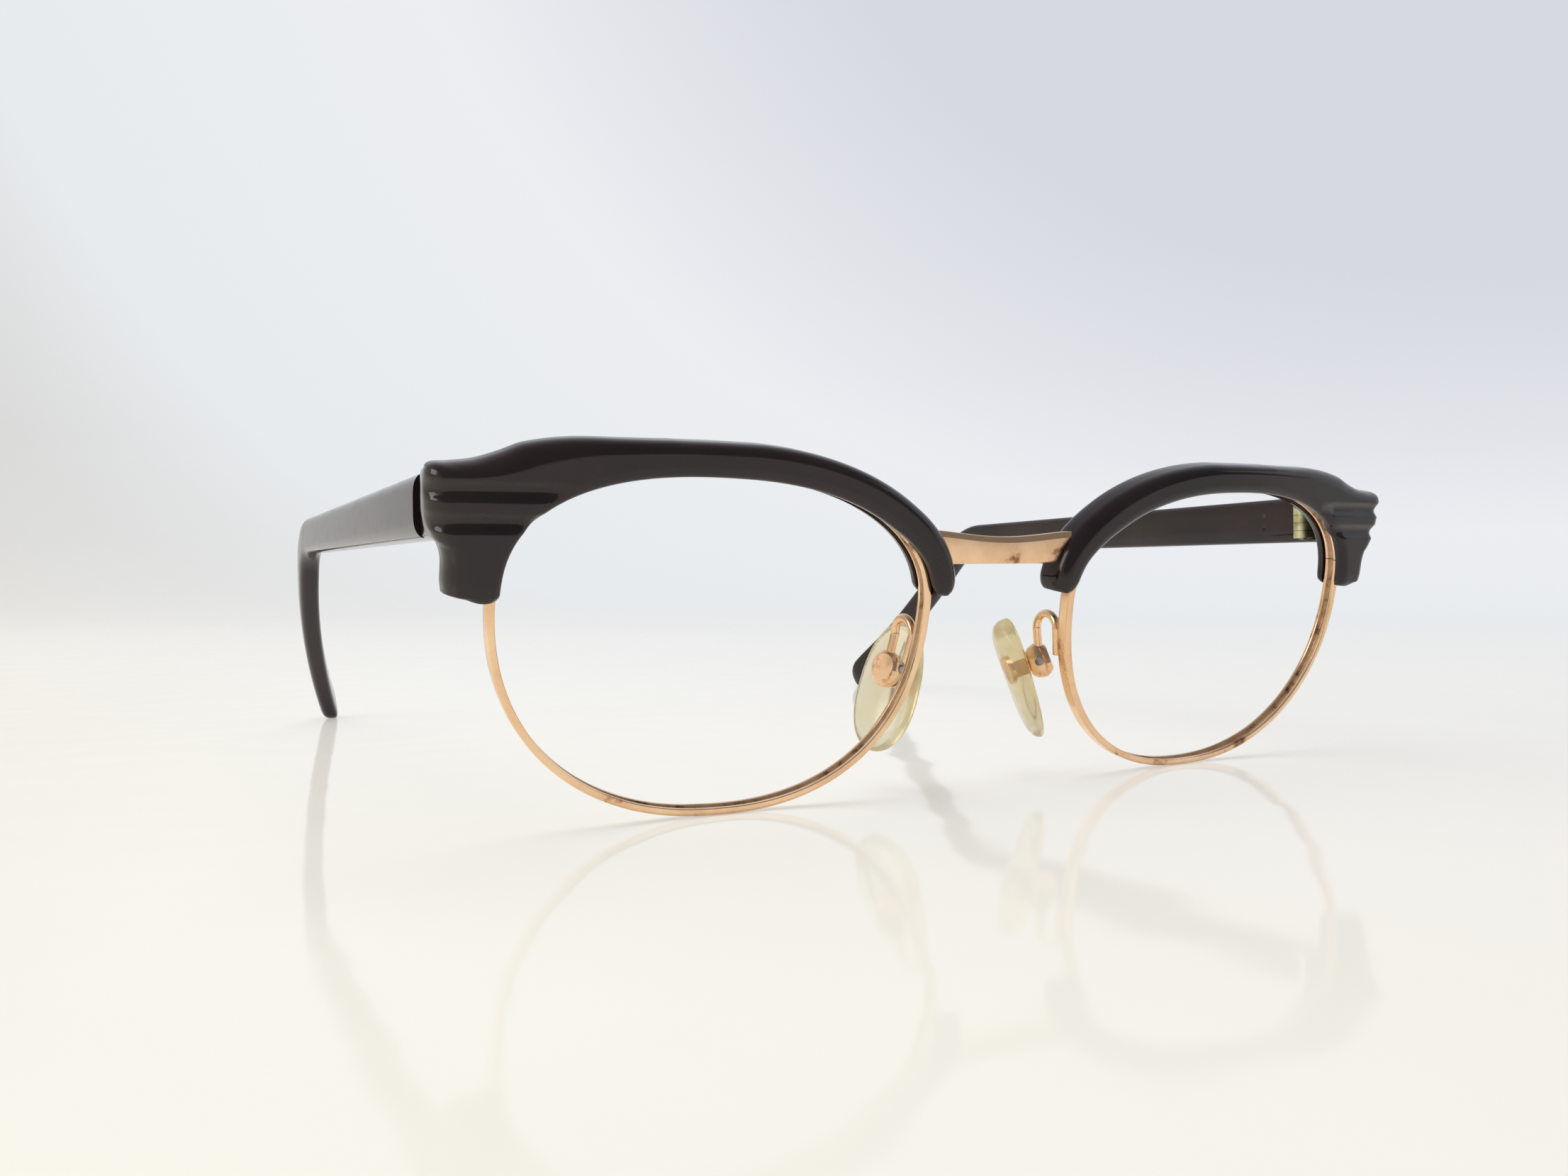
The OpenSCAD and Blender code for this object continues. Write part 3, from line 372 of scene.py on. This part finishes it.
# Brow covers: milled from dark brown acetate, tumbled and polished. Each bar holds the rim in a
# channel, its end-piece has two wide grooves and a lobe, and a short leg runs back to the temple.
# In its measures u is out to the temple and v up in the eye's plane, and n is in front of it;
# those with most in their names keep a rounding small where the bar is thin.
brow_up, lip, brow_d = 2.7, 0.65, 4.3
side_u, corner_v, corner_r, corner_t, corner_fade = 29.35, 13.4, 2.6, 75, 25
lobe_u, lobe_v, step_v = 27.7, 0.8, 5.9
crest_v, tip_t = corner_v + 2.8, 175
lobe_t = 0.85 * lobe_v - 1
edge_r, edge_back, rear_r, side_crown = 1.7, 1.9, 0.8, 0.04
edge_most, back_most, rear_most = 0.45, 1.4, 0.25
channel_n, channel_deep = 0.95, 0.5
front_from, rear_from, root_w, root_room = 1.05, 0.4, 3.9, 0.6
groove_v, groove_pitch, groove_w, groove_depth = 11.1, 2.9, 1.8, 0.5
groove_soft, groove_power, groove_to_t = 0.1, 1.4, 62
groove_u, groove_fade_u, groove_n, groove_fade_n = 16.2, 3, -0.6, 2.2
leg_x, temple_z, leg_back, leg_h, leg_t = 58.8, 31.6, 5.7, 6.4, 2.9
leg_swing, leg_round, leg_inset, leg_from_t, leg_to_t, leg_rows = 1.6, 0.4, 0.5, 28, 12, 64
front_points, edge_points, side_points, rear_points, root_points = 24, 12, 8, 5, 6

# Its curves, by t: how far out the bar's edge is, as a share of brow_up; the end-piece's outline;
# the share of its depth; and how far its front and its back reach in over the rim. The last list
# is the rounding of both lips.
out_curve = [(0, 1.035), (75, 1.035), (80, 0.99), (85, 0.978), (90, 0.99), (95, 1.02),
             (120, 1.05), (140, 1.1), (150, 1.2), (158, 1.27), (166, 1.28), (169, 1.26),
             (171, 1.233), (172, 1.204), (173, 1.16), (174, 1.1), (174.5, 1.063), (tip_t, 1.02)]
corner_end = eye(corner_t, brow_up * 1.035)
u_curve = [(1, lobe_u - 0.1), (3, lobe_u), (7, lobe_u), (10, lobe_u + 0.35),
           (12, side_u - 0.75), (15, side_u - 0.2), (18, side_u), (26, side_u),
           (30, side_u - 0.5), (35, side_u - 2.2), (40, side_u - 4.4), (45, side_u - 6.6),
           (50, side_u - 8.9), (60, side_u - 13.3), (70, side_u - 18.7),
           (corner_t, corner_end[0])]
v_curve = [(1, lobe_v + 0.7), (3, lobe_v + 1.7), (7, step_v - 1.3), (10, step_v),
           (12, step_v + 0.7), (15, step_v + 2), (18, step_v + 3.3), (22, step_v + 4.9),
           (26, corner_v - 1), (30, corner_v - 0.15), (35, corner_v + 0.05),
           (40, corner_v + 0.35), (45, corner_v + 1.05), (50, crest_v - 0.85),
           (60, crest_v - 0.2), (70, crest_v - 0.11), (corner_t, corner_end[1])]
depth_curve = [(lobe_t, 0.76), (lobe_t + 0.6, 0.9), (lobe_t + 1.8, 0.97), (4, 1), (169, 1),
               (172, 0.96), (174, 0.89), (tip_t, 0.76)]
front_lip = [(lobe_t, 0.05), (lobe_t + 0.5, 0.4), (lobe_t + 1.6, lip), (135, lip),
             (150, 0.25), (160, -0.15), (169, -0.3), (171, -0.37), (172, -0.45),
             (173, -0.57), (174, -0.73), (tip_t, -0.95)]
rear_lip = [(lobe_t, 0.2), (lobe_t + 1, lip), (170, lip), (173, 0.4), (tip_t, -0.1)]
lip_round = [(0, 0.65), (0.06, 0.45), (0.2, 0.28), (0.4, 0.14), (0.6, 0.04)]


def along(x, stops):
    """Value at x of a curve through the stops, rounded between them."""
    if x <= stops[0][0]:
        return stops[0][1]
    for i in range(len(stops) - 1):
        (x0, y0), (x1, y1) = stops[i], stops[i + 1]
        if x <= x1:
            (xa, ya), (xb, yb) = stops[max(i - 1, 0)], stops[min(i + 2, len(stops) - 1)]
            before = (y1 - ya) / (x1 - xa) * (x1 - x0)
            after = (yb - y0) / (xb - x0) * (x1 - x0)
            k = (x - x0) / (x1 - x0)
            return ((1 + 2 * k) * (1 - k) ** 2 * y0 + k * (1 - k) ** 2 * before
                    + k * k * (3 - 2 * k) * y1 + k * k * (k - 1) * after)
    return stops[-1][1]


def share(x, start, span):
    """How much of a span x has gone through, from 0 to 1."""
    return min(1, max(0, (x - start) / span))


def brow_edge(t):
    """Outer edge of the brow cover at t, in the eye's plane."""
    if t > corner_t:
        return eye(t, brow_up * along(t, out_curve))
    return Vector((along(t, u_curve), along(t, v_curve)))


def groove(v):
    """Depth of the end-piece's grooves at a height."""
    near = min(abs(v - groove_v), abs(v - groove_v + groove_pitch))
    near = near / (groove_w / 2 + groove_soft)
    return groove_depth * math.cos(near * math.pi / 2) ** groove_power if near < 1 else 0


def brow_ring(t, height=None, inset=0):
    """Section of a brow cover at t; with a height, it runs back to the temple there."""
    front = brow_d / 2 * min(1, along(t, depth_curve))
    out, c, o = eye_out(t), eye(t), brow_edge(t)
    w = (o - c).length
    d = (o - c) / w
    turn = share(t, corner_t, -corner_fade)
    r = min(edge_r + turn * (corner_r - edge_r), edge_most * w)
    rn = min(edge_back + turn * (corner_r - edge_back), back_most * front)
    b = min(rear_r, rear_most * w)
    inner, rear, root = along(t, front_lip), along(t, rear_lip), min(root_w, w - root_room)
    ring = []

    def put(base, way, q, n, normal=(0, 1)):
        """Adds a point, sunk against its normal where a groove passes."""
        p = base + way * q
        fade = share(p.x, groove_u, groove_fade_u) * share(n, groove_n, groove_fade_n)
        deep = groove(p.y) * fade if t < groove_to_t else 0
        p = p - way * (normal[0] * deep)
        ring.append(in_space(p.x, p.y, n - normal[1] * deep))

    for q, n in [(-inner, channel_n)] + [(q - inner, front - n) for q, n in lip_round]:
        put(c, out, q, n)
    for i in range(front_points + 1):
        k = i / front_points
        q = front_from - inner + k * (w - r - front_from + inner)
        put(c + (out * (1 - k) + d * k) * q, d, 0, front)
    for i in range(1, edge_points + 1):
        a = math.radians(i / edge_points * 90)
        put(o, d, -r + r * math.sin(a), front - rn * (1 - math.cos(a)),
            (math.sin(a), math.cos(a)))
    first_side = len(ring)
    for i in range(1, side_points + 1):
        put(o, d, side_crown * math.sin(i / (side_points + 1) * math.pi),
            front - rn + i / side_points * (b - front - front + rn), (1, 0))
    first_rear = len(ring)
    for i in range(1, rear_points + 1):
        a = math.radians(i / rear_points * 90)
        put(o, d, -b + b * math.cos(a), b - front - b * math.sin(a), (0, 0))
    first_root = len(ring)
    for i in range(1, root_points + 1):
        put(o, d, -b - i / root_points * (root - b), -front, (0, 0))
    if height is not None:
        start, last = ring[first_side - 1], ring[-1]
        x_in, x_out, back = leg_x + inset, leg_x + leg_t - inset, leg_back - middle_y
        outer = Vector((x_out, back, height))
        for i in range(side_points):
            k, was = (i + 1) / side_points, ring[first_side + i]
            p = start.lerp(outer, k)
            p.z = was.z + (height - was.z) * k * k
            p.x = start.x + (x_out - start.x) * (k ** leg_swing)
            ring[first_side + i] = p
        for i in range(rear_points):
            x = x_out + (x_in - x_out) * (i + 1) / rear_points
            ring[first_rear + i] = Vector((x, back, height))
        for i in range(root_points):
            k = (i + 1) / root_points
            ring[first_root + i] = Vector((x_in, back + (last.y - back) * k,
                                           height + (last.z - height) * k * k))
    for i in range(1, root_points + 1):
        p = o + d * -root
        put(p.lerp(c + out * rear_from, i / root_points), d, 0, -front, (0, 0))
    for q, n in ([(q - rear, n - front) for q, n in reversed(lip_round)]
                 + [(-rear, -channel_n), (channel_deep, -channel_n), (channel_deep, channel_n)]):
        put(c, out, q, n, (0, 0))
    return ring


# Dark acetate: nearly black with browner clouds some 14 mm wide. A deep polish that waves by the
# same clouds and is dulled here and there by a haze of handling.
acetate, acetate_shader = new_material("polished dark acetate", IOR=1.46)
swirl = clouds(acetate, 70.0, 3.0)
tint(acetate, acetate_shader, swirl, [(0.35, "1b1115"), (0.65, "2d2021")])
roughen(acetate, acetate_shader, clouds(acetate, 600.0, 5.0), (0.3, 0.7), (0.05, 0.17))
bumpy(acetate, acetate_shader, swirl, 0.1, 0.0001)

leg_top = temple_z + leg_h / 2
leg_foot = leg_top - leg_h
bar_ts = [tip_t, 174.8, 174.5, 174, 173.3, 172.5, 171.5, 170.3, 169] + list(range(167, 76, -2))
bar_ts += [corner_t - 0.5 * i for i in range(94)] + [leg_from_t]
rings = [brow_ring(t) for t in bar_ts]
rings += [brow_ring(leg_from_t, leg_top, leg_inset),
          brow_ring(leg_from_t - 0.2, leg_top - 0.1, leg_inset / 2)]
for i in range(leg_rows + 1):
    k = i / leg_rows
    t = leg_from_t - 0.5 - k * (leg_from_t - leg_to_t - 0.7)
    rings.append(brow_ring(t, leg_top - leg_round - k * (leg_h - 2 * leg_round)))
rings += [brow_ring(leg_to_t + 0.1, leg_foot + 0.1, leg_inset / 2),
          brow_ring(leg_to_t, leg_foot, leg_inset)]
lobe_ts = [leg_to_t - 0.4 * i for i in range(31)] + [-0.2, lobe_t]
rings += [brow_ring(t) for t in lobe_ts]
for side, hand in sides:
    brow = wrapped("brow_cover_" + hand, rings, side, 40)
    brow.data.materials.append(acetate)
    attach(brow, "front")
    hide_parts("brow_" + hand)

# Nose pads: clear plastic moulded over their lugs, thicker at the top, free to rock about the
# screw in the ball box. They stand over the CAD's pivot, turned as the photograph shows them.
pad_pivot = Vector((10.85, 5.4, 14.0119))
pad_turn, pad_spread, pad_lean = math.radians(66), math.radians(15.5), math.radians(6)
pad_l, pad_w, pad_t, pad_tip_t, pad_back = 15.2, 8.2, 3.3, 1.8, 0.8
pad_box_w, pad_gap, pad_below, pad_inner = 2.6, 0.35, 0.61, 0.25
pad_outline, pad_taper, pad_edge, pad_thin, pad_blunt = 2.4, 0.07, 6, 0.1, 0.0004
pad_columns, pad_rows = 48, 40
pad_face = pad_box_w / 2 + pad_gap
at_pad = (Matrix.Translation(pad_pivot - Vector((0, middle_y, 0)))
          @ Matrix.Rotation(pad_turn, 4, "Z") @ Matrix.Rotation(-pad_spread, 4, "X")
          @ Matrix.Rotation(-pad_lean, 4, "Y"))


def pad_ring(k):
    """Section of a pad at a share of its length, from its lower end."""
    c = 2 * k - 1
    w = pad_w / 2 * max(pad_blunt, 1 - abs(c) ** pad_outline) ** 0.5 * (1 - pad_taper * c)
    end = max(pad_blunt, 1 - abs(c) ** pad_edge) ** 0.5
    thick = pad_tip_t + (pad_t - pad_tip_t) * k
    t = thick * (pad_thin + (1 - pad_thin) * end)
    ring = []
    for i in range(pad_columns):
        a = i / pad_columns * 2 * math.pi
        swell = 1 - pad_inner if math.sin(a) > 0 else pad_inner
        y = pad_face + pad_inner * thick + t * math.sin(a) * swell
        z = -pad_l * pad_below + k * pad_l
        ring.append(at_pad @ Vector((w * math.cos(a) + pad_back, y, z)))
    return ring


# Pad plastic: clear, yellowed with age. Light goes through it and comes out cream, yellower
# where the way through is long, and a little of it is scattered in milky clouds of 3 mm.
plastic, plastic_shader = new_material("yellowed pad plastic", Roughness=0.1, IOR=1.49,
                                       Transmission_Weight=1.0)
cream = tint(plastic, plastic_shader, clouds(plastic, 300.0, 4.0),
             [(0.3, "fdf6da"), (0.7, "fffcf2")])
milky = add(plastic, "ShaderNodeBsdfTranslucent", links={"Color": cream})
both = add(plastic, "ShaderNodeMixShader",
           links={1: plastic_shader.outputs[0], 2: milky.outputs[0]}, i0=0.22)
yellow = add(plastic, "ShaderNodeVolumeAbsorption", Color=from_hex("f3e2a4"), Density=110.0)
plastic_output = plastic.node_tree.nodes["Material Output"]
plastic.node_tree.links.new(both.outputs[0], plastic_output.inputs["Surface"])
plastic.node_tree.links.new(yellow.outputs[0], plastic_output.inputs["Volume"])

rings = [pad_ring((1 - math.cos(i / pad_rows * math.pi)) / 2) for i in range(pad_rows + 1)]
for side, hand in sides:
    pad = wrapped("pad_" + hand, rings, side, 60)
    pad.data.materials.append(plastic)
    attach(pad, "pad_" + hand)
    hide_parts("nose_pad_" + hand)

# Hinges and core wires: nickel silver, milled barrels on leaves sunk in the acetate. A pale,
# slightly green metal, dull and mottled by 2 mm.
nickel, nickel_shader = new_material("dull nickel silver", Metallic=1.0, Roughness=0.38)
tint(nickel, nickel_shader, clouds(nickel, 500.0, 4.0), [(0.3, "a39d76"), (0.6, "d8d5a8")])
dress(("front_hinge", "temple_hinge", "temple_core"), nickel)

# Cross pins: nickel silver, filed flush with the acetate and polished over. Their ends look dark
# and brown, only a little brighter than the acetate around them.
pin_metal, pin_shader = new_material("filed pin ends", Metallic=1.0, Roughness=0.5)
tint(pin_metal, pin_shader, clouds(pin_metal, 1500.0, 3.0), [(0.35, "3a302a"), (0.65, "6e5a4c")])
dress(("front_hinge_pins", "temple_hinge_pins"), pin_metal)

# Temples: cut from acetate sheet round a core wire, crowned outside and flat inside, bent down
# over the ear and rounded at the tip. s is the way along one from its hinge end.
temple_straight, temple_t, bend_t, bend_h = 80, 3.6, 3.1, 5.4
bend_r, bend, splay, ear_in, tip_r, hinge_gap = 14, 43, 1.4, 7.5, 3.3, 0.2
temple_columns, crown_power, flat_power, edge_power = 56, 0.75, 0.34, 0.5
tip_thin, tip_blunt, tip_rows = 0.15, 0.0005, 12
arc_l = bend_r * math.radians(bend)
ear_drop = temple_z - bend_r * (1 - math.cos(math.radians(bend))) - tip_r
ear_l = ear_drop / math.sin(math.radians(bend))
tip_s = temple_straight + arc_l + ear_l
temple_end = tip_s + tip_r
height_curve = [(0, leg_h), (temple_straight, bend_h), (tip_s - 14, bend_h - 0.3),
                (tip_s - 2, 2 * tip_r)]
thick_curve = [(0, temple_t), (temple_straight, bend_t), (tip_s, bend_t - 0.2)]
at_temple = (Matrix.Translation((leg_x, leg_back + hinge_gap - middle_y, temple_z))
             @ Matrix.Rotation(math.radians(-splay), 4, "Z"))


def on_course(s, x, q):
    """A point at s along the temple, x out from its inner face and q up from its middle."""
    a = math.radians(max(0, min(bend, (s - temple_straight) / arc_l * bend)))
    past = max(0, s - temple_straight - arc_l)
    y = min(s, temple_straight) + bend_r * math.sin(a) + past * math.cos(a)
    z = -bend_r * (1 - math.cos(a)) - past * math.sin(a)
    inward = ear_in * max(0, (s - temple_straight) / (temple_end - temple_straight)) ** 2
    return at_temple @ Vector((x - inward, y + q * math.sin(a), z + q * math.cos(a)))


def temple_ring(s):
    """Section of a temple at s, drawn in to nearly nothing round the tip."""
    k = 1 if s <= tip_s else math.sqrt(max(tip_blunt, 1 - ((s - tip_s) / tip_r) ** 2))
    h = along(s, height_curve) * k
    full = along(s, thick_curve)
    t = full * (tip_thin + (1 - tip_thin) * k)
    ring = []
    for i in range(temple_columns):
        a = (i + 0.5) / temple_columns * 2 * math.pi
        x, q = math.cos(a), math.sin(a)
        x = math.copysign(abs(x) ** (crown_power if x > 0 else flat_power), x)
        q = math.copysign(abs(q) ** edge_power, q)
        ring.append(on_course(s, full / 2 + x * t / 2, q * h / 2))
    return ring


stations = [0.1, 0.25, 0.6] + [1.5 + i * 2.6 for i in range(30)]
stations += [temple_straight + i * 0.75 for i in range(14)]
stations += [91 + i * 1.6 for i in range(math.ceil((tip_s - 91) / 1.6))]
stations += [tip_s + tip_r * math.sin(i / tip_rows * math.pi / 2) for i in range(tip_rows + 1)]
rings = [temple_ring(s) for s in stations]
for side, hand in sides:
    temple = wrapped("temple_" + hand + "_acetate", rings, side, 40)
    temple.data.materials.append(acetate)
    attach(temple, "temple_" + hand)
    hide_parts("temple_" + hand)
